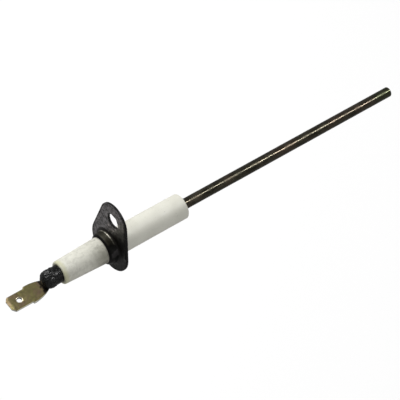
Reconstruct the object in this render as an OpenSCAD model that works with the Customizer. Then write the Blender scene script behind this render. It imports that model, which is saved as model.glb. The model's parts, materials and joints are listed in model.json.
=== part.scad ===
// Flame sensor probe for a gas burner: a heat-resistant rod in a ceramic insulator, held by an
// eared steel flange and ending in a push-on blade terminal.
// +X runs along the probe toward the rod's tip, and +Z points to the flange's ear.
// The origin is where the probe's axis crosses the flange's front (seating) face.

/* [Flame rod] */
// Diameter of the heat-resistant rod
rod_d = 4; // [3:0.1:4.1]
// Distance from the flange's front face to the rod's tip
rod_reach = 132.5; // [60:0.1:180]
// Chamfer around the rod's tip
rod_chamfer = 0.25; // [0.1:0.05:0.8]
// Length of bare rod behind the insulator, under the sealing bead
rod_tail = 5; // [4.6:0.1:5.4]

/* [Insulator] */
// Diameter of the spigot that enters the burner
spigot_d = 9.7; // [9.4:0.1:10.2]
// Length of the spigot in front of the flange
spigot_len = 30.8; // [15:0.2:60]
// Diameter of the band seated inside the flange's cup
band_d = 10.6; // [10.5:0.05:10.7]
// Diameter of the rear body where it leaves the cup
rear_d = 10; // [9.8:0.05:10]
// Diameter of the rear body at its free end
rear_end_d = 8.7; // [8:0.1:9.6]
// Length of the insulator behind the flange's front face
rear_len = 22.2; // [16:0.2:30]
// Diameter of the hole that the rod passes through
bore_d = 4.2; // [4.1:0.1:4.6]
// Rounding of the insulator's front end
end_radius = 0.45; // [0.3:0.05:1.1]
// Rounding of the insulator's rear end
rear_radius = 0.6; // [0.3:0.1:0.8]
// Diameter of the cement pocket at the rear end
pocket_d = 6; // [5.2:0.1:6.4]
// Depth of the cement pocket
pocket_depth = 6; // [3:0.5:10]

/* [Flange] */
// Thickness of the steel sheet
sheet_t = 1; // [0.8:0.1:1.2]
// Radius of the round body around the insulator
body_r = 10; // [9:0.1:12]
// Radius of the ear around the fixing hole
ear_r = 7; // [5:0.1:8]
// Distance from the probe's axis to the fixing hole
hole_offset = 14.3; // [12.5:0.1:18]
// Diameter of the fixing hole
hole_d = 5.6; // [4:0.1:6.5]
// Depth of the cup drawn to the rear, from the front face
cup_depth = 4.6; // [4:0.1:6]
// Radius of the cup's outer wall where it leaves the sheet
cup_r = 6.15; // [6.05:0.05:6.4]
// Radius of the bend between the sheet and the cup, on the front face
mouth_radius = 1; // [0.6:0.1:1.2]

/* [Terminal] */
// Width of the push-on blade
blade_w = 6.3; // [6.2:0.1:6.4]
// Length of the push-on blade, from its tip to the shoulders
blade_len = 7.8; // [7.5:0.1:8.2]
// Thickness of the blade
blade_t = 0.8; // [0.5:0.1:1]
// Distance from the insulator's rear end back to the blade's tip
blade_reach = 20.8; // [19.5:0.1:21.5]
// How far the blade stands to one side of the probe's axis
blade_shift = 0.55; // [0:0.05:0.8]
// Width across the shoulders
shoulder_w = 7.4; // [6.6:0.1:8.4]
// Diameter of the latching hole in the blade
latch_d = 1.9; // [1.6:0.1:2.2]
// Distance from the blade's tip to the latching hole
latch_offset = 4.3; // [3.6:0.1:5]

/* [Sealing bead] */
// Diameter of the sealing bead
bead_d = 6.6; // [6.5:0.1:7.2]
// Length of the sealing bead, from the insulator to the end of its dome
bead_len = 7.1; // [6.8:0.1:7.4]
// Length of the bead's domed end
dome_len = 2.8; // [2:0.1:3.2]

/* [Hidden] */

$fn = 96;
arc_steps = 10;
cut_margin = 1;

rod_r = rod_d / 2;
spigot_r = spigot_d / 2;
band_r = band_d / 2;
rear_r = rear_d / 2;
rear_end_r = rear_end_d / 2;
pocket_r = pocket_d / 2;
bead_r = bead_d / 2;

// Cup of the flange: a wall that leans in a little, a well-rounded corner and a pierced floor.
floor_t = 0.8;
cup_corner = 1.2;
cup_lean = 0.2;
cup_hole_r = rear_d / 2 + 0.03;
cup_inner_r = band_r + 0.05;
cup_floor_x = -(cup_depth - floor_t);
outer_bend = 0.9;
web_r = cup_r + outer_bend + 0.4;

// The insulator's band stands on the cup's floor. Its front chamfer ends just behind the seating face.
chamfer_front_x = -0.15;
chamfer_rear_x = -0.75;
cement_front_x = -0.35;
cement_root_x = -0.8;

// Blade terminal, lying against the underside of the rod's tail.
tip_x = -(rear_len + blade_reach);
tip_corner = 1.3;
tip_corner_len = 1.05;
coin_len = 1.2;
coin_depth = 0.22;
shoulder_x = tip_x + blade_len;
shoulder_ramp = 0.25;
shoulder_flat = 0.6;
neck_curve_r = 15;
neck_end_x = -(rear_len + 4.8);
tail_ramp = 0.7;
tail_end_x = -(rear_len + 1.4);
tail_half_w = 1.5;
blade_top_z = -rod_r;

// Weld fillets, one along each side of the rod's tail, with a blunt outer toe.
weld_len = 3;
weld_x = -(rear_len + 4.8);
weld_inner_y = 0.5;
weld_outer_y = 1.4;
weld_height = 0.7;
weld_toe = 0.1;

// Turns a profile drawn as [radius, x] about the probe's axis.
module turn_about_x() {
    rotate([0, 90, 0]) rotate_extrude() children();
}

// Pushes an outline drawn as [y, z] along the probe's axis, from x to x + length.
module push_along_x(x, length) {
    translate([x, 0, 0]) rotate([90, 0, 90]) linear_extrude(height = length) children();
}

// A round bar on the probe's axis.
module axis_bar(r, x, length) {
    translate([x, 0, 0]) rotate([0, 90, 0]) cylinder(r = r, h = length);
}

// Points along an arc from angle a to angle b.
function arc(centre, r, a, b) =
    [for (i = [0 : arc_steps]) let (t = a + (b - a) * i / arc_steps)
        centre + r * [cos(t), sin(t)]];

module flame_rod() {
    tail_x = -(rear_len + rod_tail);
    color([0.24, 0.22, 0.17])
    turn_about_x() polygon([
        [0, tail_x],
        [rod_r - rod_chamfer / 2, tail_x],
        [rod_r, tail_x + rod_chamfer / 2],
        [rod_r, rod_reach - rod_chamfer],
        [rod_r - rod_chamfer, rod_reach],
        [0, rod_reach]
    ]);
}

// Outside of the insulator as [radius, x] points, from the front end to the rear end.
function insulator_outline() = concat(
    arc([spigot_r - end_radius, spigot_len - end_radius], end_radius, 90, 0),
    [
        [spigot_r, chamfer_front_x],
        [band_r, chamfer_rear_x],
        [band_r, cup_floor_x],
        [rear_r, cup_floor_x],
        [rear_r, -cup_depth]
    ],
    arc([rear_end_r - rear_radius, -rear_len + rear_radius], rear_radius, 0, -90)
);

module ceramic_insulator() {
    color([0.93, 0.92, 0.87])
    difference() {
        turn_about_x() polygon(concat(
            [[0, spigot_len]],
            insulator_outline(),
            [[0, -rear_len]]
        ));
        axis_bar(bore_d / 2, -rear_len - cut_margin, rear_len + spigot_len + 2 * cut_margin);
        axis_bar(pocket_r, -rear_len - cut_margin, pocket_depth + cut_margin);
    }
}

// Flat outline of the flange as [y, z]: the round body, the ear and the tangents that join them.
module flange_outline() {
    lean = acos((body_r - ear_r) / hole_offset);
    touch = [sin(lean), cos(lean)];
    circle(r = body_r);
    translate([0, hole_offset]) circle(r = ear_r);
    polygon([
        body_r * touch,
        [0, hole_offset] + ear_r * touch,
        [0, hole_offset] + [-ear_r * touch.x, ear_r * touch.y],
        [-body_r * touch.x, body_r * touch.y]
    ]);
}

// Section of the drawn cup as [radius, x], joined to the sheet by a bend at its mouth.
module cup_section() {
    mouth_r = cup_inner_r + mouth_radius;
    root_r = cup_r + outer_bend;
    corner_r = cup_r - cup_lean - cup_corner;
    polygon(concat(
        [[web_r, 0]],
        arc([mouth_r, -mouth_radius], mouth_radius, 90, 180),
        [
            [cup_inner_r, cup_floor_x],
            [cup_hole_r, cup_floor_x],
            [cup_hole_r, -cup_depth]
        ],
        arc([corner_r, -cup_depth + cup_corner], cup_corner, -90, 0),
        arc([root_r, -sheet_t - outer_bend], outer_bend, 180, 90),
        [[web_r, -sheet_t]]
    ));
}

module mounting_flange() {
    color([0.27, 0.25, 0.25])
    union() {
        difference() {
            push_along_x(-sheet_t, sheet_t) flange_outline();
            axis_bar(cup_r + outer_bend, -sheet_t - cut_margin, sheet_t + 2 * cut_margin);
            translate([0, 0, hole_offset])
                axis_bar(hole_d / 2, -sheet_t - cut_margin, sheet_t + 2 * cut_margin);
        }
        turn_about_x() cup_section();
    }
}

// Cement that fills the cup's mouth around the insulator, slightly sunk below the front face.
module flange_cement() {
    mouth_r = cup_inner_r + mouth_radius;
    front_angle = asin((mouth_radius + cement_front_x) / mouth_radius);
    root_angle = asin((mouth_radius + cement_root_x) / mouth_radius);
    chamfer_slope = (band_r - spigot_r) / (chamfer_front_x - chamfer_rear_x);
    color([0.62, 0.6, 0.55])
    turn_about_x() polygon(concat(
        [
            [spigot_r + (chamfer_front_x - cement_front_x) * chamfer_slope, cement_front_x],
            [band_r, chamfer_rear_x]
        ],
        arc([mouth_r, -mouth_radius], mouth_radius, 180 - root_angle, 180 - front_angle)
    ));
}

// Cement in the pocket at the insulator's rear end, around the rod.
module rod_cement() {
    color([0.66, 0.63, 0.56])
    difference() {
        axis_bar(pocket_r, -rear_len, pocket_depth);
        axis_bar(rod_r, -rear_len - cut_margin, pocket_depth + 2 * cut_margin);
    }
}

// Half width of the terminal's neck at a place x, and the line that its middle follows.
function neck_half_w(x) =
    shoulder_w / 2 - neck_curve_r + sqrt(pow(neck_curve_r, 2) - pow(x - shoulder_x - shoulder_flat, 2));
function neck_middle_y(x) =
    -blade_shift * (x - tail_end_x) / (shoulder_x - tail_end_x);

// One long edge of the terminal from the blade's tip to the end of its tail, on the side given.
function terminal_edge(side) = concat(
    [
        [tip_x, -blade_shift + side * (blade_w / 2 - tip_corner)],
        [tip_x + tip_corner_len, -blade_shift + side * blade_w / 2],
        [shoulder_x, -blade_shift + side * blade_w / 2],
        [shoulder_x + shoulder_ramp, -blade_shift + side * shoulder_w / 2]
    ],
    [for (i = [0 : arc_steps])
        let (x = shoulder_x + shoulder_flat + (neck_end_x - shoulder_x - shoulder_flat) * i / arc_steps)
        [x, neck_middle_y(x) + side * neck_half_w(x)]],
    [
        [neck_end_x + tail_ramp, side * tail_half_w],
        [tail_end_x, side * tail_half_w]
    ]
);

function reversed(points) = [for (i = [len(points) - 1 : -1 : 0]) points[i]];

// Side view of the terminal as [x, z], with the coined lead-in at the blade's tip.
function terminal_side() = [
    [tip_x, blade_top_z - coin_depth],
    [tip_x + coin_len, blade_top_z],
    [tail_end_x, blade_top_z],
    [tail_end_x, blade_top_z - blade_t],
    [tip_x + coin_len, blade_top_z - blade_t],
    [tip_x, blade_top_z - blade_t + coin_depth]
];

module blade_terminal() {
    color([0.6, 0.55, 0.36])
    difference() {
        intersection() {
            translate([0, 0, blade_top_z - blade_t])
                linear_extrude(height = blade_t)
                    polygon(concat(terminal_edge(1), reversed(terminal_edge(-1))));
            rotate([90, 0, 0])
                linear_extrude(height = 2 * shoulder_w, center = true)
                    polygon(terminal_side());
        }
        translate([tip_x + latch_offset, -blade_shift, blade_top_z - blade_t - cut_margin])
            cylinder(d = latch_d, h = blade_t + 2 * cut_margin);
    }
}

// Two fillets of weld metal between the rod's tail and the terminal's tail.
module terminal_weld() {
    top_z = blade_top_z + weld_height;
    color([0.45, 0.44, 0.42])
    difference() {
        for (side = [-1, 1])
            push_along_x(weld_x, weld_len) polygon([
                [side * weld_inner_y, blade_top_z],
                [side * weld_outer_y, blade_top_z],
                [side * weld_outer_y, top_z - weld_toe],
                [side * (weld_outer_y - weld_toe), top_z],
                [side * weld_inner_y, top_z]
            ]);
        axis_bar(rod_r, weld_x - cut_margin, weld_len + 2 * cut_margin);
    }
}

// Sealing bead: a domed plug of sealing compound over the rod's tail and the terminal's tail.
module sealing_bead() {
    color([0.07, 0.07, 0.08])
    difference() {
        turn_about_x() polygon(concat(
            [[0, -rear_len], [bead_r, -rear_len]],
            [for (p = arc([0, 0], 1, 0, -90))
                [bead_r * p.x, -(rear_len + bead_len - dome_len) + dome_len * p.y]]
        ));
        flame_rod();
        blade_terminal();
        terminal_weld();
    }
}

flame_rod();
ceramic_insulator();
mounting_flange();
flange_cement();
rod_cement();
blade_terminal();
terminal_weld();
sealing_bead();
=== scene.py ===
import json
import math

import bmesh
import bpy
from mathutils import Matrix, Vector, noise
from mathutils.geometry import delaunay_2d_cdt


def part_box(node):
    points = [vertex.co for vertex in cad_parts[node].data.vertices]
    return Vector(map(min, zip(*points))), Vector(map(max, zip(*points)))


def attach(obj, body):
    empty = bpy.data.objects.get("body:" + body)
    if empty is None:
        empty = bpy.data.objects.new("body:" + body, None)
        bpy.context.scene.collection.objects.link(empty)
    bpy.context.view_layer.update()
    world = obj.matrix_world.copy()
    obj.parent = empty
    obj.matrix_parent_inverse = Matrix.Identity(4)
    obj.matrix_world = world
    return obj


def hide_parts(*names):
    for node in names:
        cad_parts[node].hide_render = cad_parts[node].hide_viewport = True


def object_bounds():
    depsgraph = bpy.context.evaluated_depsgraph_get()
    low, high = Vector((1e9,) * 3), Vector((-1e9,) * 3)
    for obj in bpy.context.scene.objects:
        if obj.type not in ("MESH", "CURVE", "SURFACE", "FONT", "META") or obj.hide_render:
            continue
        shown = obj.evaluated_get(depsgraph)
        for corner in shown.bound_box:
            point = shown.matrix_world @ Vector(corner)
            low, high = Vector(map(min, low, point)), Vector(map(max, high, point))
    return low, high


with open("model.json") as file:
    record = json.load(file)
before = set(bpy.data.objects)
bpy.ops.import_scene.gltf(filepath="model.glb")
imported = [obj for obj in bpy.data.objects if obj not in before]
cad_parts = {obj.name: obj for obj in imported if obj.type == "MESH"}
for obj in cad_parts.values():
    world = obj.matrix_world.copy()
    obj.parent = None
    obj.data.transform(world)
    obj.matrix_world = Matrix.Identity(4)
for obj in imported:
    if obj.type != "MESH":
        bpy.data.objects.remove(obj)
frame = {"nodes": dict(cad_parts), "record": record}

CAD_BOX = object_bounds()
BODY = "root"
MM = 0.001

# ---------------------------------------------------------------- sizes, in millimetres


def box_mm(node):
    """Lowest and highest corner of a CAD node, in millimetres."""
    low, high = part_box(node)
    return low / MM, high / MM


MOUNTS = {m["name"]: m for m in frame["record"]["mounts"]}
ROD_LOW, ROD_HIGH = box_mm("flame_rod")
CERAMIC_LOW, CERAMIC_HIGH = box_mm("ceramic_insulator")
FLANGE_LOW, FLANGE_HIGH = box_mm("mounting_flange")
BLADE_LOW, BLADE_HIGH = box_mm("blade_terminal")
BEAD_LOW, BEAD_HIGH = box_mm("sealing_bead")
POCKET_HIGH = box_mm("rod_cement")[1]
CEMENT_LOW, CEMENT_HIGH = box_mm("flange_cement")

ROD_R = ROD_HIGH.y
SPIGOT_R = MOUNTS["insulator_spigot"]["dims"]["r_mm"]
BAND_R = CERAMIC_HIGH.y
REAR_R = 5.0
REAR_END_R = 4.35
END_ROUND = 0.45
REAR_ROUND = 0.6
BORE_R = 2.1
# A cone joins the band inside the cup to the spigot, between these two places.
BAND_END_X = -0.75
SPIGOT_START_X = -0.15

SHEET_T = MOUNTS["fixing_hole"]["dims"]["length_mm"]
HOLE_R = MOUNTS["fixing_hole"]["dims"]["r_mm"]
HOLE_Z = MOUNTS["fixing_hole"]["pos_m"][2] / MM
BODY_R = -FLANGE_LOW.z
EAR_R = FLANGE_HIGH.z - HOLE_Z
CUP_X = FLANGE_LOW.x
CUP_R = 6.15
CUP_LEAN = 0.2
CUP_CORNER = 1.2
CUP_FLOOR_T = 0.8
CUP_INNER_R = BAND_R + 0.05
CUP_HOLE_R = REAR_R + 0.03
CUP_BEND = 0.9
MOUTH_ROUND = 1.0
PLATE_INNER_R = 7.6

BLADE_LEN = 7.8
BLADE_W = 6.3
BLADE_TOP = BLADE_HIGH.z
BLADE_T = BLADE_HIGH.z - BLADE_LOW.z
BLADE_Y = (BLADE_LOW.y + BLADE_HIGH.y) / 2
LATCH_R = 0.95
LATCH_OFFSET = 4.3
SHOULDER_X = BLADE_LOW.x + BLADE_LEN
SHOULDER_W = BLADE_HIGH.y - BLADE_LOW.y
TIP_CORNER = 1.3
NECK_R = 15.0
NECK_LEAD = 0.6
NECK_END_X = CERAMIC_LOW.x - 4.8
TAIL_HALF_W = 1.5

BEAD_R = BEAD_HIGH.y
DOME_LEN = 2.8
COLLAR_LEN = 2.3

# Where the flange's dark patch, partly stain and partly painted shade, and its light flecks are centred, as
# (y, z).
STAIN_AND_SHADE_AT = (-3.4, 5.2)
FLECKS_AT = (1.0, 10.5)
# The direction across the probe, as (y, z), in which the painted shade on the ceramic and the flange grows
# lighter.
LIGHTER = (0.88, 0.48)

TRIANGLE_HEIGHT = 0.866

# ---------------------------------------------------------------- mesh helpers


def arc(centre, radius, start, end, steps=8):
    """Points along an arc, angles in degrees, counted from the first axis toward the second."""
    points = []
    for i in range(steps + 1):
        t = math.radians(start + (end - start) * i / steps)
        points.append((centre[0] + radius * math.cos(t), centre[1] + radius * math.sin(t)))
    return points


def densify(points, step, closed=False):
    """The same line with no stretch longer than step."""
    ends = points + points[:1] if closed else points
    line = []
    for (x0, y0), (x1, y1) in zip(ends, ends[1:]):
        count = max(1, math.ceil(math.hypot(x1 - x0, y1 - y0) / step))
        for i in range(count):
            line.append((x0 + (x1 - x0) * i / count, y0 + (y1 - y0) * i / count))
    return line if closed else line + points[-1:]


def roughen(point, size, octaves=3):
    """Smooth noise between about -1 and 1 at a point in millimetres, with bumps about size across."""
    return noise.fractal(Vector(point) / size, 1.0, 2.0, octaves)


def add_object(name, data):
    """A new object in the scene."""
    thing = bpy.data.objects.new(name, data)
    bpy.context.scene.collection.objects.link(thing)
    return thing


def make_piece(name, verts, faces, material, replaced):
    """A smooth-shaded mesh object from millimetre vertices, riding on the probe's one body."""
    mesh = bpy.data.meshes.new(name)
    mesh.from_pydata([Vector(v) * MM for v in verts], [], faces)
    shape = bmesh.new()
    shape.from_mesh(mesh)
    bmesh.ops.remove_doubles(shape, verts=shape.verts, dist=0.002 * MM)
    bmesh.ops.recalc_face_normals(shape, faces=shape.faces)
    shape.to_mesh(mesh)
    shape.free()
    mesh.shade_smooth()
    piece = add_object(name, mesh)
    mesh.materials.append(material)
    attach(piece, BODY)
    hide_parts(*replaced)
    return piece


def turned(profile, sides, finish=None, closed=False):
    """Vertices and faces of [(x, radius)] turned about the probe's axis.

    finish(x, angle, radius) gives the finished (x, radius) of a point."""
    verts, faces, rings = [], [], []
    for x, r in profile:
        count = 1 if r < 1e-6 else sides
        rings.append(range(len(verts), len(verts) + count))
        for i in range(count):
            angle = 2 * math.pi * i / sides
            px, pr = finish(x, angle, r) if finish else (x, r)
            verts.append((px, pr * math.cos(angle), pr * math.sin(angle)))
    pairs = list(zip(rings, rings[1:]))
    if closed:
        pairs.append((rings[-1], rings[0]))
    for a, b in pairs:
        for i in range(sides):
            j = (i + 1) % sides
            if len(a) == 1 and len(b) > 1:
                faces.append((a[0], b[i], b[j]))
            elif len(b) == 1 and len(a) > 1:
                faces.append((a[i], b[0], a[j]))
            elif len(a) > 1:
                faces.append((a[i], b[i], b[j], a[j]))
    return verts, faces


def outward(loop, material_side):
    """Unit normals of a closed line of points, pointing away from the material."""
    normals = []
    for i, point in enumerate(loop):
        before, after = Vector(loop[i - 1]), Vector(loop[(i + 1) % len(loop)])
        along = (after - before).normalized()
        normals.append(Vector((along.y, -along.x)) * material_side)
    return normals


def inset(loop, normals, depth):
    return [Vector(p) - n * depth for p, n in zip(loop, normals)]


def inside(point, loop):
    """True if a point lies inside a closed line."""
    x, y = point
    crossed = False
    for i, (x1, y1) in enumerate(loop):
        x0, y0 = loop[i - 1]
        if (y0 > y) != (y1 > y) and x < x0 + (x1 - x0) * (y - y0) / (y1 - y0):
            crossed = not crossed
    return crossed


def clear_of(point, loop, distance):
    return all((Vector(p) - Vector(point)).length >= distance for p in loop)


def sheet_part(outer, holes, low, high, edges, grid, rings=()):
    """Vertices (u, v, w) and faces of a flat part between w = low and w = high.

    outer and holes are closed lines, outer counter-clockwise and holes clockwise. edges gives for each line,
    outer first, the (inset, w) steps of its rounded edge from low to high, or None for an edge left open.
    Points about grid apart fill the two faces, after rings of points at the insets in rings."""
    loops = [outer] + list(holes)
    normals = [outward(loop, 1) for loop in loops]
    verts, faces = [], []
    borders = {low: [], high: []}
    for loop, normal, edge in zip(loops, normals, edges):
        steps = edge or [(0.0, low), (0.0, high)]
        rows = []
        for depth, w in steps:
            rows.append(range(len(verts), len(verts) + len(loop)))
            verts += [(p.x, p.y, w) for p in inset(loop, normal, depth)]
        borders[low].append(rows[0])
        borders[high].append(rows[-1])
        if edge:
            for a, b in zip(rows, rows[1:]):
                for i in range(len(loop)):
                    j = (i + 1) % len(loop)
                    faces.append((a[i], a[j], b[j], b[i]))
    fill = []
    for depth in rings:
        for p in inset(outer, normals[0], depth):
            if clear_of(p, outer, depth * 0.96) and clear_of(p, fill, grid * 0.45):
                fill.append((p.x, p.y))
    us, vs = [p[0] for p in outer], [p[1] for p in outer]
    u = min(us) + grid / 2
    row = 0
    while u < max(us):
        v = min(vs) + grid / 4 * (1 + 2 * (row % 2))
        while v < max(vs):
            if inside((u, v), outer) and not any(inside((u, v), h) for h in holes):
                if all(clear_of((u, v), loop, grid * 0.8) for loop in loops + [fill]):
                    fill.append((u, v))
            v += grid
        u += grid * TRIANGLE_HEIGHT
        row += 1
    for w, rows in borders.items():
        points = [Vector(verts[i][:2]) for r in rows for i in r]
        index = [i for r in rows for i in r]
        index += range(len(verts), len(verts) + len(fill))
        verts += [(a, b, w) for a, b in fill]
        points += [Vector(p) for p in fill]
        fence, start = [], 0
        for r in rows:
            fence += [(start + i, start + (i + 1) % len(r)) for i in range(len(r))]
            start += len(r)
        out = delaunay_2d_cdt(points, fence, [], 0, 1e-6)
        for face in out[2]:
            middle = sum((out[0][i] for i in face), Vector((0, 0))) / len(face)
            if inside(middle, outer) and not any(inside(middle, h) for h in holes):
                faces.append([index[out[3][i][0]] for i in face])
    return verts, faces


def filleted(corners, step):
    """A closed line through [(x, y, radius)], each corner rounded to its radius."""
    line = []
    for i, (x, y, radius) in enumerate(corners):
        here = Vector((x, y))
        back = Vector(corners[i - 1][:2]) - here
        ahead = Vector(corners[(i + 1) % len(corners)][:2]) - here
        turn = back.angle(ahead)
        reach = min(radius / math.tan(turn / 2), back.length * 0.45, ahead.length * 0.45)
        if radius == 0 or reach < 1e-3:
            line.append((x, y))
            continue
        first, last = here + back.normalized() * reach, here + ahead.normalized() * reach
        for k in range(6):
            t = k / 5
            p = first * (1 - t) ** 2 + here * 2 * t * (1 - t) + last * t ** 2
            line.append((p.x, p.y))
    spaced = [p for i, p in enumerate(line) if (Vector(p) - Vector(line[i - 1])).length > 0.02]
    return densify(spaced, step, closed=True)


# ---------------------------------------------------------------- material helpers


class Paint:
    """Builds one material's nodes. Coordinates are the object's own, in millimetres."""

    def __init__(self, name):
        self.material = bpy.data.materials.new(name)
        self.material.use_nodes = True
        self.tree = self.material.node_tree
        self.shader = self.tree.nodes["Principled BSDF"]
        where = self.tree.nodes.new("ShaderNodeTexCoord")
        scale = self.tree.nodes.new("ShaderNodeVectorMath")
        scale.operation = "SCALE"
        scale.inputs["Scale"].default_value = 1 / MM
        self.tree.links.new(where.outputs["Object"], scale.inputs[0])
        self.place = scale.outputs[0]
        split = self.tree.nodes.new("ShaderNodeSeparateXYZ")
        self.tree.links.new(self.place, split.inputs[0])
        self.x, self.y, self.z = split.outputs

    def put(self, socket, value):
        """Links a node's output to a socket, or sets the socket's own value."""
        if isinstance(value, bpy.types.NodeSocket):
            self.tree.links.new(value, socket)
        else:
            socket.default_value = value

    def math(self, operation, a, b=0.0):
        node = self.tree.nodes.new("ShaderNodeMath")
        node.operation = operation
        self.put(node.inputs[0], a)
        self.put(node.inputs[1], b)
        return node.outputs[0]

    def plus(self, a, b):
        return self.math("ADD", a, b)

    def minus(self, a, b):
        return self.math("SUBTRACT", a, b)

    def times(self, a, b):
        return self.math("MULTIPLY", a, b)

    def stretch(self, scales):
        """The coordinates, multiplied by (x, y, z)."""
        node = self.tree.nodes.new("ShaderNodeVectorMath")
        node.operation = "MULTIPLY"
        self.put(node.inputs[0], self.place)
        node.inputs[1].default_value = scales
        return node.outputs[0]

    def noise(self, size, detail=3.0, rough=0.5, twist=0.0, scales=None):
        """Noise from 0 to 1 with blotches about size millimetres across."""
        node = self.tree.nodes.new("ShaderNodeTexNoise")
        self.put(node.inputs["Vector"], self.stretch(scales) if scales else self.place)
        node.inputs["Scale"].default_value = 1 / size
        node.inputs["Detail"].default_value = detail
        node.inputs["Roughness"].default_value = rough
        node.inputs["Distortion"].default_value = twist
        return node.outputs["Fac"]

    def cells(self, size):
        """Distance to the nearest of many scattered points about size millimetres apart."""
        node = self.tree.nodes.new("ShaderNodeTexVoronoi")
        self.put(node.inputs["Vector"], self.place)
        node.inputs["Scale"].default_value = 1 / size
        return node.outputs["Distance"]

    def facing(self, axis="X"):
        """1 where the surface faces along the axis, either way, and 0 where it is square to it."""
        shape = self.tree.nodes.new("ShaderNodeNewGeometry")
        split = self.tree.nodes.new("ShaderNodeSeparateXYZ")
        self.tree.links.new(shape.outputs["Normal"], split.inputs[0])
        return self.math("ABSOLUTE", split.outputs[axis])

    def distance(self, y, z):
        """Distance in millimetres from the line through (y, z) that runs along the probe."""
        across, up = self.minus(self.y, y), self.minus(self.z, z)
        squares = self.plus(self.times(across, across), self.times(up, up))
        return self.math("SQRT", squares)

    def height(self):
        """Millimetres from the probe's axis along LIGHTER, the direction that shades are laid out in."""
        return self.plus(self.times(self.z, LIGHTER[1]), self.times(self.y, LIGHTER[0]))

    def ramp(self, value, low, high, a=0.0, b=1.0):
        """value from low to high becomes a to b, smoothly, and stays at a and b beyond."""
        node = self.tree.nodes.new("ShaderNodeMapRange")
        node.interpolation_type = "SMOOTHSTEP"
        self.put(node.inputs["Value"], value)
        for key, number in (("From Min", low), ("From Max", high), ("To Min", a), ("To Max", b)):
            node.inputs[key].default_value = number
        return node.outputs["Result"]

    def mix(self, factor, a, b):
        """Colour a where factor is 0, colour b where it is 1."""
        node = self.tree.nodes.new("ShaderNodeMix")
        node.data_type = "RGBA"
        self.put(node.inputs["Factor"], factor)
        for socket, value in ((node.inputs["A"], a), (node.inputs["B"], b)):
            self.put(socket, value if isinstance(value, bpy.types.NodeSocket) else (*value, 1.0))
        return node.outputs["Result"]

    def bump(self, height, strength, depth):
        """Adds bumps whose height of 1 stands for depth millimetres."""
        node = self.tree.nodes.new("ShaderNodeBump")
        node.inputs["Strength"].default_value = strength
        node.inputs["Distance"].default_value = depth * MM
        self.put(node.inputs["Height"], height)
        normal = self.shader.inputs["Normal"]
        if normal.is_linked:
            self.tree.links.new(normal.links[0].from_socket, node.inputs["Normal"])
        self.tree.links.new(node.outputs["Normal"], normal)

    def finish(self, colour, roughness, **values):
        self.put(self.shader.inputs["Base Color"], colour)
        self.put(self.shader.inputs["Roughness"], roughness)
        for key, value in values.items():
            self.shader.inputs[key.replace("_", " ")].default_value = value
        return self.material


# ---------------------------------------------------------------- materials


def ceramic_material():
    """Unglazed fired ceramic: warm white and speckled, duller and smudged behind the flange, stained at its
    rear end, with painted shade beside the cup and at the cup's lip.
    """
    p = Paint("fired_ceramic")
    colour = p.mix(p.ramp(p.noise(7.0, 4.0), 0.35, 0.7), (0.79, 0.78, 0.685), (0.86, 0.852, 0.755))
    fleck = p.ramp(p.noise(0.45, 2.0, 0.6), 0.62, 0.74, 0.0, 0.4)
    colour = p.mix(fleck, colour, (0.60, 0.58, 0.47))
    pit = p.ramp(p.cells(1.5), 0.06, 0.14, 0.55, 0.0)
    colour = p.mix(p.times(pit, p.ramp(p.noise(2.5), 0.45, 0.6)), colour, (0.34, 0.31, 0.24))
    behind = p.math("LESS_THAN", p.x, CUP_X + 0.5)
    dull = p.ramp(p.noise(1.5, 4.0, 0.65), 0.40, 0.66, 0.0, 0.4)
    colour = p.mix(p.times(dull, behind), colour, (0.50, 0.49, 0.42))
    end = p.ramp(p.x, CERAMIC_LOW.x + 0.3, CERAMIC_LOW.x + 2.2, 1.0, 0.0)
    stain = p.times(end, p.ramp(p.noise(2.4, 3.0), 0.28, 0.6, 0.2, 0.85))
    colour = p.mix(stain, colour, (0.66, 0.65, 0.42))
    near_cup = p.ramp(p.x, CUP_X - 6.0, CUP_X, 0.0, 1.0)
    # Painted shade: the ceramic darkens toward the cup on its lower side, where the flange keeps light off.
    shade = p.ramp(p.x, CUP_X - 8.0, CUP_X - 1.0, 0.05, 0.65)
    shade = p.times(shade, p.ramp(p.height(), -2.5, 4.0, 1.0, 0.1))
    colour = p.mix(p.times(shade, behind), colour, (0.22, 0.215, 0.155))
    smudge = p.times(near_cup, p.ramp(p.noise(2.2, 4.0, 0.6, 0.6), 0.46, 0.66, 0.0, 0.7))
    # Painted shade in the narrow gap at the cup's lip; the smudges near the cup are dirt.
    lip_shade = p.ramp(p.x, CUP_X - 0.5, CUP_X, 0.0, 0.75)
    smudge_and_lip_shade = p.times(p.math("MAXIMUM", smudge, lip_shade), behind)
    colour = p.mix(smudge_and_lip_shade, colour, (0.20, 0.19, 0.16))
    p.bump(p.noise(0.35, 3.0, 0.6), 0.4, 0.03)
    p.bump(p.noise(4.0, 2.0), 0.3, 0.12)
    rough = p.ramp(p.noise(2.0, 3.0), 0.3, 0.7, 0.45, 0.6)
    return p.finish(colour, rough, Specular_IOR_Level=0.4)


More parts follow.
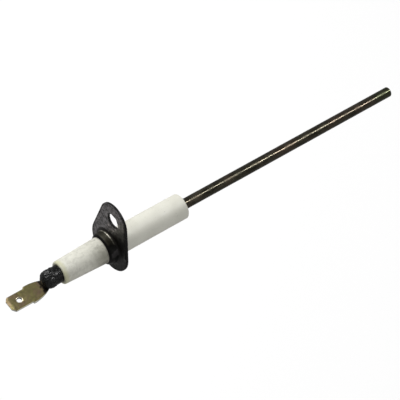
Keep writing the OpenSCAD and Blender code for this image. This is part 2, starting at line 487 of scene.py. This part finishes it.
def rod_material():
    """Heat-resistant wire: thin dark olive oxide over drawn metal, polished in places, with fine scale."""
    p = Paint("oxidised_wire")
    streak = p.noise(1.2, 4.0, 0.6, 0.0, (0.15, 1.0, 1.0))
    colour = p.mix(p.ramp(streak, 0.35, 0.65), (0.024, 0.022, 0.015), (0.060, 0.054, 0.038))
    scale = p.ramp(p.noise(0.5, 3.0, 0.6), 0.52, 0.72, 0.0, 0.6)
    colour = p.mix(scale, colour, (0.12, 0.108, 0.072))
    tint = p.ramp(p.noise(9.0, 2.0), 0.45, 0.6, 0.0, 0.5)
    colour = p.mix(tint, colour, (0.085, 0.062, 0.045))
    green = p.ramp(p.x, ROD_HIGH.x - 9.0, ROD_HIGH.x - 6.0, 0.0, 0.7)
    colour = p.mix(green, colour, (0.050, 0.058, 0.030))
    p.bump(p.noise(0.5, 3.0, 0.65, 0.0, (0.5, 1.0, 1.0)), 0.3, 0.03)
    p.bump(p.noise(0.2, 2.0, 0.5, 0.0, (0.05, 1.0, 1.0)), 0.2, 0.008)
    patch = p.noise(2.6, 3.0, 0.6, 0.0, (0.6, 1.0, 1.0))
    rough = p.ramp(patch, 0.40, 0.60, 0.13, 0.38)
    return p.finish(colour, rough, Metallic=0.85)


def flange_material():
    """Pressed steel under dark, blotchy oxide, with painted shade: greyer on the ear, near black low down and
    at the cup; near black cut edges; a painted highlight and reflection on the cup.
    """
    p = Paint("oxidised_sheet")
    radius = p.distance(0.0, 0.0)
    root_r = CUP_R + CUP_BEND
    wander = p.ramp(p.noise(2.6, 4.0), 0.2, 0.8, -1.2, 1.2)
    height = p.plus(p.height(), wander)
    blotch = p.ramp(p.noise(1.3, 5.0, 0.7, 0.3), 0.34, 0.66)
    # Painted shade: the blotchy plate is near black on the lower lobe, mid grey at the side and lightest on
    # the ear.
    lobe = p.mix(blotch, (0.004, 0.006, 0.005), (0.016, 0.018, 0.015))
    side = p.mix(blotch, (0.10, 0.094, 0.082), (0.25, 0.238, 0.212))
    ear = p.mix(blotch, (0.11, 0.104, 0.107), (0.33, 0.315, 0.318))
    colour = p.mix(p.ramp(height, -1.2, 5.0), lobe, side)
    colour = p.mix(p.ramp(height, 2.5, 6.5), colour, ear)
    # A dark patch, partly stain and partly painted shade.
    stain_and_shade = p.plus(p.distance(*STAIN_AND_SHADE_AT), p.times(wander, 0.6))
    colour = p.mix(p.ramp(stain_and_shade, 1.5, 6.0, 0.97, 0.0), colour, (0.004, 0.003, 0.002))
    grain = p.ramp(p.noise(0.7, 3.0, 0.7, 0.0, (1.0, 1.0, 0.6)), 0.46, 0.66, 0.0, 0.7)
    colour = p.mix(grain, colour, (0.030, 0.027, 0.025))
    fleck = p.times(p.ramp(p.cells(1.9), 0.14, 0.26, 1.0, 0.0), p.ramp(p.noise(2.6), 0.36, 0.46))
    fleck = p.times(fleck, p.ramp(p.distance(*FLECKS_AT), 2.5, 4.5, 1.0, 0.0))
    colour = p.mix(fleck, colour, (0.55, 0.50, 0.45))
    spot = p.times(p.ramp(p.cells(2.3), 0.10, 0.24, 0.9, 0.0), p.ramp(p.noise(3.4), 0.46, 0.56))
    colour = p.mix(spot, colour, (0.012, 0.010, 0.010))
    # The sheet's rear face is buckled past this x too, so the cup is marked by its radius as well.
    barrel = p.math("LESS_THAN", radius, root_r)
    barrel = p.times(barrel, p.math("LESS_THAN", p.x, -SHEET_T - 0.05))
    # On the cup: painted shade, near black below and olive grey above, with a lighter band low down that is a
    # painted reflection.
    drawn = p.mix(p.ramp(height, -1.0, 1.8), (0.002, 0.002, 0.001), (0.024, 0.022, 0.014))
    painted_light_zone = p.times(p.ramp(height, -5.2, -4.4), p.ramp(height, -2.6, -1.6, 1.0, 0.0))
    drawn = p.mix(painted_light_zone, drawn, (0.036, 0.033, 0.034))
    colour = p.mix(barrel, colour, drawn)
    # A painted highlight on the upper side of the bend at the cup's root, broken up by noise.
    bend_x = -SHEET_T - CUP_BEND
    bend_highlight = p.math("ABSOLUTE", p.minus(p.x, bend_x + 0.12))
    bend_highlight = p.times(p.ramp(bend_highlight, 0.08, 0.26, 1.0, 0.0), p.ramp(height, -0.5, 3.0))
    bend_highlight = p.times(bend_highlight, p.ramp(p.noise(0.9, 3.0), 0.35, 0.6, 0.25, 1.0))
    colour = p.mix(bend_highlight, colour, (0.42, 0.40, 0.34))
    # Painted shade in the hollow just outside the bend at the cup's root.
    bend_shade = p.ramp(radius, root_r, root_r + 0.35, 0.85, 0.0)
    bend_shade = p.times(p.ramp(p.x, bend_x + 0.35, bend_x + 0.6), bend_shade)
    colour = p.mix(bend_shade, colour, (0.010, 0.009, 0.008))
    # Painted shade on the cup's lip, in the narrow gap against the ceramic.
    cup_lip_shade = p.times(p.ramp(radius, CUP_HOLE_R + 0.65, CUP_HOLE_R + 0.88, 1.0, 0.0), barrel)
    colour = p.mix(cup_lip_shade, colour, (0.002, 0.002, 0.002))
    cut = p.math("GREATER_THAN", radius, root_r)
    cut = p.times(cut, p.ramp(p.facing(), 0.55, 0.85, 0.97, 0.0))
    colour = p.mix(cut, colour, (0.004, 0.004, 0.004))
    p.bump(p.noise(0.5, 4.0, 0.6), 0.4, 0.04)
    p.bump(p.noise(2.6, 2.0), 0.35, 0.1)
    rough = p.ramp(p.noise(1.4, 4.0, 0.6), 0.3, 0.7, 0.34, 0.55)
    return p.finish(colour, rough, Metallic=0.6, Specular_IOR_Level=0.3)


def terminal_material():
    """Dull yellow plating, greenish and brownish, with a light ring round the latching hole; cut edges carry
    a painted highlight over painted shade, and painted shade darkens it at the bead and in the hole.
    """
    p = Paint("yellow_plating")
    tint = p.noise(3.2, 3.0, 0.5, 0.6)
    colour = p.mix(p.ramp(tint, 0.38, 0.64), (0.138, 0.122, 0.050), (0.158, 0.116, 0.070))
    colour = p.mix(p.ramp(p.noise(2.0, 3.0), 0.5, 0.68, 0.0, 0.7), colour, (0.185, 0.165, 0.062))
    colour = p.mix(p.ramp(p.noise(2.7, 3.0, 0.5, 0.3), 0.60, 0.72, 0.0, 0.6), colour, (0.19, 0.095, 0.060))
    colour = p.mix(p.ramp(p.noise(0.35, 2.0), 0.5, 0.75, 0.0, 0.3), colour, (0.10, 0.085, 0.045))
    across = p.minus(p.y, BLADE_Y)
    along = p.minus(p.x, BLADE_LOW.x + LATCH_OFFSET)
    squares = p.plus(p.times(across, across), p.times(along, along))
    from_latch = p.math("POWER", squares, 0.5)
    # A light ring round the latching hole.
    latch_ring = p.math("ABSOLUTE", p.minus(from_latch, LATCH_R + 0.13))
    colour = p.mix(p.ramp(latch_ring, 0.05, 0.14, 0.85, 0.0), colour, (0.75, 0.70, 0.55))
    # Cut edges: a painted highlight on their upper part and painted shade below.
    wall = p.ramp(p.facing("Z"), 0.6, 0.9, 1.0, 0.0)
    dark, bright = (0.003, 0.003, 0.002), (0.97, 0.95, 0.85)
    edge_highlight_and_shade = p.mix(p.ramp(p.z, BLADE_LOW.z + 0.36, BLADE_LOW.z + 0.46), dark, bright)
    colour = p.mix(wall, colour, edge_highlight_and_shade)
    # Painted shade inside the latching hole.
    latch_wall_shade = p.math("LESS_THAN", from_latch, LATCH_R + 0.04)
    colour = p.mix(latch_wall_shade, colour, (0.030, 0.026, 0.016))
    # Painted shade where the terminal runs in under the bead.
    painted_light_zone = p.plus(p.x, p.ramp(p.noise(1.2, 3.0), 0.3, 0.7, -0.5, 0.5))
    painted_light_zone = p.ramp(painted_light_zone, NECK_END_X - 3.2, NECK_END_X - 2.3, 0.0, 0.96)
    colour = p.mix(painted_light_zone, colour, (0.012, 0.010, 0.008))
    p.bump(p.noise(0.4, 3.0, 0.6), 0.2, 0.02)
    rough = p.ramp(p.noise(0.9, 4.0, 0.6), 0.3, 0.7, 0.3, 0.46)
    return p.finish(colour, rough, Metallic=0.85)


def bead_material():
    """Black sealing compound, glossy, wrinkled, with a fine grey painted highlight along the wrinkle crests
    of its dome.
    """
    p = Paint("sealing_compound")
    colour = p.mix(p.ramp(p.noise(0.9, 4.0), 0.4, 0.7), (0.001, 0.001, 0.001), (0.005, 0.005, 0.005))
    # A fine grey painted highlight along the wrinkle crests on the dome.
    crest_highlight = p.math("ABSOLUTE", p.minus(p.noise(1.1, 3.0, 0.55, 0.8), 0.5))
    on_dome = p.math("LESS_THAN", p.x, BEAD_HIGH.x - COLLAR_LEN)
    crest_highlight = p.times(p.ramp(crest_highlight, 0.0, 0.06, 0.8, 0.0), on_dome)
    colour = p.mix(crest_highlight, colour, (0.030, 0.031, 0.030))
    p.bump(p.noise(0.5, 4.0, 0.65, 0.5), 0.8, 0.12)
    rough = p.ramp(p.noise(0.7, 3.0), 0.35, 0.7, 0.10, 0.32)
    return p.finish(colour, rough, Specular_IOR_Level=0.25)


def cement_material():
    """Dry refractory cement, grainy and grey."""
    p = Paint("refractory_cement")
    colour = p.mix(p.ramp(p.noise(0.8, 4.0, 0.6), 0.35, 0.7), (0.40, 0.38, 0.33), (0.58, 0.56, 0.50))
    p.bump(p.noise(0.25, 3.0, 0.65), 0.6, 0.06)
    return p.finish(colour, p.ramp(p.noise(0.5), 0.3, 0.7, 0.75, 0.92))


def weld_material():
    """Weld metal with heat stain."""
    p = Paint("weld_metal")
    colour = p.mix(p.ramp(p.noise(0.6, 3.0), 0.35, 0.7), (0.14, 0.13, 0.12), (0.26, 0.24, 0.21))
    p.bump(p.noise(0.3, 3.0), 0.5, 0.05)
    return p.finish(colour, p.ramp(p.noise(0.4), 0.3, 0.7, 0.4, 0.6), Metallic=0.8)


# ---------------------------------------------------------------- pieces


def make_rod(material):
    chamfer = 0.25
    tip, tail = ROD_HIGH.x, ROD_LOW.x
    profile = [(tail, 0.0), (tail, ROD_R - chamfer / 2), (tail + chamfer / 2, ROD_R)]
    profile += [(tip - chamfer - 0.1, ROD_R)] + arc((tip - chamfer, ROD_R - chamfer), chamfer, 80, 8, 5)
    profile += [(tip, ROD_R - chamfer * 1.15), (tip, 0.0)]

    uneven = 0.004

    def finish(x, angle, r):
        if r < ROD_R * 0.5:
            return x, r
        spot = (x, ROD_R * math.cos(angle), ROD_R * math.sin(angle))
        return x, r * (1 - uneven * (1 + roughen(spot, 3.0, 2)))

    verts, faces = turned(densify(profile, 1.2), 48, finish)
    return make_piece("flame_rod_wire", verts, faces, material, ["flame_rod"])


def make_insulator(material):
    rear, front = CERAMIC_LOW.x, CERAMIC_HIGH.x
    floor_x = CUP_X + CUP_FLOOR_T
    lead = 0.3
    uneven = 0.02
    outside = arc((rear + REAR_ROUND, REAR_END_R - REAR_ROUND), REAR_ROUND, 180, 90, 6)
    outside += [(CUP_X, REAR_R), (floor_x, REAR_R), (floor_x, BAND_R)]
    outside += [(BAND_END_X, BAND_R), (SPIGOT_START_X, SPIGOT_R)]
    outside += arc((front - END_ROUND, SPIGOT_R - END_ROUND), END_ROUND, 90, 0, 8)
    bore = [(front, BORE_R + lead), (front - lead, BORE_R), (POCKET_HIGH.x, BORE_R)]
    bore += [(POCKET_HIGH.x, POCKET_HIGH.y), (rear, POCKET_HIGH.y)]

    def finish(x, angle, r):
        if r < REAR_END_R * 0.75:
            return x, r
        spot = (x, r * math.cos(angle), r * math.sin(angle))
        return x, r - uneven * (1 + roughen(spot, 6.0, 2))

    verts, faces = turned(densify(outside + bore, 0.9), 96, finish, closed=True)
    return make_piece("insulator_body", verts, faces, material, ["ceramic_insulator"])


def flange_line(step):
    """The flange's outline as (y, z), counter-clockwise: round body, ear, and the tangents that join them."""
    lean = math.degrees(math.acos((BODY_R - EAR_R) / HOLE_Z))
    line = arc((0, 0), BODY_R, 90 + lean, 450 - lean, 60)
    line += arc((0, HOLE_Z), EAR_R, 90 - lean, 90 + lean, 26)
    return densify(line, step, closed=True)


def cup_profile():
    """The cup's skin as (x, radius), from the sheet's rear face round the cup to its front face."""
    corner_r = CUP_R - CUP_LEAN - CUP_CORNER
    root_r = CUP_R + CUP_BEND
    mouth_r = CUP_INNER_R + MOUTH_ROUND
    skin = [(-SHEET_T, PLATE_INNER_R)]
    skin += arc((-SHEET_T - CUP_BEND, root_r), CUP_BEND, 0, -90, 6)
    skin += arc((CUP_X + CUP_CORNER, corner_r), CUP_CORNER, 90, 168, 8)
    skin += [(CUP_X + 0.03, CUP_HOLE_R + 0.08), (CUP_X + 0.12, CUP_HOLE_R)]
    skin += [(CUP_X + CUP_FLOOR_T, CUP_HOLE_R), (CUP_X + CUP_FLOOR_T, CUP_INNER_R)]
    skin += arc((-MOUTH_ROUND, mouth_r), MOUTH_ROUND, -90, 0, 8)
    skin += [(0.0, PLATE_INNER_R)]
    return skin


def make_flange(material):
    sides = 120
    outer = flange_line(0.4)
    hole = [(y, z + HOLE_Z) for y, z in arc((0, 0), HOLE_R, 360, 0, 64)[:-1]]
    mouth = arc((0, 0), PLATE_INNER_R, 360, 0, sides)[:-1]
    rear = -SHEET_T
    rolled = [(0.30, rear), (0.17, rear + 0.02), (0.07, rear + 0.07), (0.015, rear + 0.16)]
    edge = rolled + [(0.0, rear + 0.3), (0.0, -0.2), (0.03, -0.06), (0.1, 0.0)]
    verts, faces = sheet_part(outer, [hole, mouth], -SHEET_T, 0.0, [edge, edge, None], 0.7)
    verts = [(w, u, v) for u, v, w in verts]
    more, skin = turned(cup_profile(), sides)
    faces = list(faces) + [[i + len(verts) for i in face] for face in skin]
    verts += more

    def buckle(x, y, z):
        """Lets the sheet wander rearward by up to about 0.08 mm outside the drawn part."""
        far = max(0.0, math.hypot(y, z) - PLATE_INNER_R)
        return x - min(far, 2.0) * 0.02 * (1 + roughen((y, z, 0.0), 7.0, 2)), y, z

    verts = [buckle(*v) for v in verts]
    return make_piece("flange_pressing", verts, faces, material, ["mounting_flange"])


def neck_half_w(x):
    """Half the width of the neck, which curves in from the shoulders on NECK_R."""
    run = x - SHOULDER_X - NECK_LEAD
    return SHOULDER_W / 2 - NECK_R + math.sqrt(NECK_R ** 2 - run ** 2)


def terminal_line(step):
    """The terminal's outline as (x, y), counter-clockwise."""
    tip, tail = BLADE_LOW.x, BLADE_HIGH.x
    half, wide = BLADE_W / 2, SHOULDER_W / 2
    side = [(tip, half - TIP_CORNER, 0.25), (tip + TIP_CORNER * 0.8, half, 0.35), (SHOULDER_X, half, 0.12)]
    side += [(SHOULDER_X + 0.25, wide, 0.3)]
    corners = []
    for sign in (-1, 1):
        half_line = [(x, BLADE_Y + sign * y, r) for x, y, r in side]
        for i in range(9):
            x = SHOULDER_X + NECK_LEAD + (NECK_END_X - SHOULDER_X - NECK_LEAD) * i / 8
            middle = BLADE_Y * (x - tail) / (SHOULDER_X - tail)
            half_line.append((x, middle + sign * neck_half_w(x), 0))
        half_line += [(NECK_END_X + 0.7, sign * TAIL_HALF_W, 0.3), (tail, sign * TAIL_HALF_W, 0.35)]
        corners += half_line if sign < 0 else half_line[::-1]
    return filleted(corners, step)


def make_terminal(material):
    outer = terminal_line(0.3)
    latch = arc((0, 0), LATCH_R, 360, 0, 32)[:-1]
    latch = [(x + BLADE_LOW.x + LATCH_OFFSET, y + BLADE_Y) for x, y in latch]
    low, high = BLADE_TOP - BLADE_T, BLADE_TOP
    edge = [(0.10, low), (0.03, low + 0.04), (0.0, low + 0.12)]
    edge += [(0.0, high - 0.12), (0.03, high - 0.04), (0.10, high)]
    verts, faces = sheet_part(outer, [latch], low, high, [edge, edge], 0.45, (0.25, 0.5, 0.8, 1.1, 1.4))
    middle = (low + high) / 2
    half = BLADE_W / 2

    def coin(x, y, z):
        """Thins the blade toward its tip, its cut corners and, less, its long edges."""
        if x > SHOULDER_X - 0.3:
            return x, y, z
        off = abs(y - BLADE_Y)
        corner = (x - BLADE_LOW.x) * 0.78 + (half - TIP_CORNER * 0.4 - off) * 0.62
        reach = min(x - BLADE_LOW.x, corner, half - off + 0.62)
        thin = max(0.0, 1 - reach / 1.05) * 0.55
        return x, y, middle + (z - middle) * (1 - thin)

    verts = [coin(*v) for v in verts]
    verts = [(x, y, z + 0.015 * roughen((x, y, 0.0), 3.0, 2)) for x, y, z in verts]
    return make_piece("push_on_terminal", verts, faces, material, ["blade_terminal"])


def make_bead(material):
    """A smooth collar against the insulator, under a wrinkled, lumpy dome."""
    end, base = BEAD_LOW.x, BEAD_HIGH.x
    step_x = base - COLLAR_LEN
    dome_x = end + DOME_LEN
    dome = [(dome_x + DOME_LEN * x, BEAD_R * r) for x, r in arc((0, 0), 1, 90, 180, 18)]
    profile = [(base, 0.0), (base, BEAD_R - 0.1)] + dome
    profile[-1] = (end, 0.0)

    def finish(x, angle, r):
        if x > base - 0.01:
            return x, r
        spot = (x, r * math.cos(angle), r * math.sin(angle))
        wave = 0.35 * math.sin(angle + 1) + 0.2 * math.sin(3 * angle)
        lumpy = min(1.0, max(0.0, (step_x + wave - x) / 0.35))
        wrinkle = 1 - 3 * abs(roughen(spot, 1.3, 2))
        lump = lumpy * (0.05 + 0.15 * roughen(spot, 2.4, 2) + 0.10 * wrinkle)
        lump += 0.02 * roughen(spot, 0.7, 2) - (1 - lumpy) * 0.04
        domed = max(0.0, dome_x - x) / DOME_LEN
        return x - lump * domed, max(0.0, r + lump * (1 - domed ** 2))

    verts, faces = turned(densify(profile, 0.13), 150, finish)
    return make_piece("sealing_bead_lump", verts, faces, material, ["sealing_bead"])


def make_cement_ring(material):
    """The cement in the cup's mouth, with a dragged, grainy surface."""
    low, high = CEMENT_LOW.x, CEMENT_HIGH.x
    mouth_r = CUP_INNER_R + MOUTH_ROUND
    slope = (BAND_R - SPIGOT_R) / (SPIGOT_START_X - BAND_END_X)

    def mouth(x):
        """Radius of the cup's rounded mouth."""
        return mouth_r - math.sqrt(MOUTH_ROUND ** 2 - (x + MOUTH_ROUND) ** 2)

    def cone(x):
        """Radius of the insulator's cone."""
        return SPIGOT_R + (SPIGOT_START_X - x) * slope

    outer = [(x, mouth(x)) for x in (low, -0.6, -0.45, high)]
    inner = [(high, cone(high)), (-0.55, cone(-0.55)), (BAND_END_X, BAND_R)]
    face = [(high, r) for r in (5.45, 5.35, 5.25, 5.15)]

    def finish(x, angle, r):
        if x < high - 0.01 or r < 5.1 or r > 5.5:
            return x, r
        return x + 0.07 * roughen((r * math.cos(angle), r * math.sin(angle), 3.0), 0.5, 3), r

    verts, faces = turned(outer + face + inner, 120, finish, closed=True)
    return make_piece("cup_mouth_cement", verts, faces, material, ["flange_cement"])


def paint_node(node, material):
    """Gives a CAD node that keeps its own shape a better material."""
    slots = frame["nodes"][node].data.materials
    slots.clear()
    slots.append(material)


ceramic = ceramic_material()
cement = cement_material()
make_rod(rod_material())
make_insulator(ceramic)
make_flange(flange_material())
make_terminal(terminal_material())
make_bead(bead_material())
make_cement_ring(cement)
paint_node("rod_cement", cement)
paint_node("terminal_weld", weld_material())

# ---------------------------------------------------------------- floor, light and camera

# The camera looks down at the probe from behind and to its right, rolled so that the rod climbs to the right.
# Directions are an azimuth from +X toward +Y and an elevation, in degrees.
CAMERA_TOWARD = (221.7, 52.2)
CAMERA_ROLL = 12.6
CAMERA_FROM = 554.0
CAMERA_AIM = (30.5, -8.5, 13.4)
LENS_MM = 143.8
SENSOR_MM = 36.0

# Each light: direction, distance, width and height in metres, power in watts. The glint is long and narrow,
# and is seen only in reflections.
LIGHTS = {
    "key": ((105, 48), 0.9, 0.5, 0.5, 6.5),
    "fill": ((275, 25), 0.9, 0.5, 0.5, 1.1),
    "glint": ((342, 54), 0.9, 0.06, 0.4, 4.0),
}
ROOM_LIGHT = 0.33
FLOOR_DROP = 0.12
FLOOR_REACH = 20.0
FLOOR_GREY = (0.35, 0.35, 0.35, 1)
FLOOR_GLOW = 0.69


def toward(azimuth, elevation):
    """Unit vector for an azimuth and an elevation in degrees."""
    az, el = math.radians(azimuth), math.radians(elevation)
    return Vector((math.cos(az) * math.cos(el), math.sin(az) * math.cos(el), math.sin(el)))


def turned_to(back):
    """The turn of a camera or a light that has its back to a direction."""
    return back.to_track_quat("Z", "Y").to_matrix().to_4x4()


def add_camera():
    data = bpy.data.cameras.new("camera")
    data.sensor_width = SENSOR_MM
    data.lens = LENS_MM
    data.clip_start, data.clip_end = 0.01, 50
    camera = add_object("camera", data)
    back = toward(*CAMERA_TOWARD)
    level = turned_to(back)
    roll = Matrix.Rotation(math.radians(CAMERA_ROLL), 4, "Z")
    place = (Vector(CAMERA_AIM) + back * CAMERA_FROM) * MM
    camera.matrix_world = Matrix.Translation(place) @ level @ roll
    bpy.context.scene.camera = camera


def add_floor():
    """A wide, plain, pale floor some way below the probe."""
    z = CAD_BOX[0].z - FLOOR_DROP
    corners = [(-1, -1), (1, -1), (1, 1), (-1, 1)]
    mesh = bpy.data.meshes.new("floor")
    mesh.from_pydata([(x * FLOOR_REACH, y * FLOOR_REACH, z) for x, y in corners], [], [(0, 1, 2, 3)])
    floor = add_object("floor", mesh)
    paint = Paint("pale_floor")
    paint.finish(FLOOR_GREY, 0.9, Emission_Color=(1, 1, 1, 1), Emission_Strength=FLOOR_GLOW)
    mesh.materials.append(paint.material)
    floor.visible_diffuse = False
    floor.visible_glossy = False
    floor.visible_shadow = False


def add_light(name, direction, distance, width, height, power):
    """A flat soft light that faces the probe."""
    data = bpy.data.lights.new(name, "AREA")
    data.shape = "RECTANGLE"
    data.size, data.size_y = width, height
    data.energy = power
    light = add_object(name, data)
    back = toward(*direction)
    light.matrix_world = Matrix.Translation(back * distance) @ turned_to(back)


def add_room():
    """Even light from all round, and a white backdrop behind the probe."""
    world = bpy.data.worlds.new("studio")
    world.use_nodes = True
    tree = world.node_tree
    sky = tree.nodes["Background"]
    sky.inputs["Color"].default_value = (1, 1, 1, 1)
    ray = tree.nodes.new("ShaderNodeLightPath")
    level = tree.nodes.new("ShaderNodeMapRange")
    level.inputs["To Min"].default_value = ROOM_LIGHT
    level.inputs["To Max"].default_value = 1.0
    tree.links.new(ray.outputs["Is Camera Ray"], level.inputs["Value"])
    tree.links.new(level.outputs["Result"], sky.inputs["Strength"])
    bpy.context.scene.world = world


add_floor()
add_room()
for light, placing in LIGHTS.items():
    add_light(light, *placing)
bpy.data.objects["glint"].visible_diffuse = False
add_camera()
bpy.context.scene.view_settings.view_transform = "Standard"
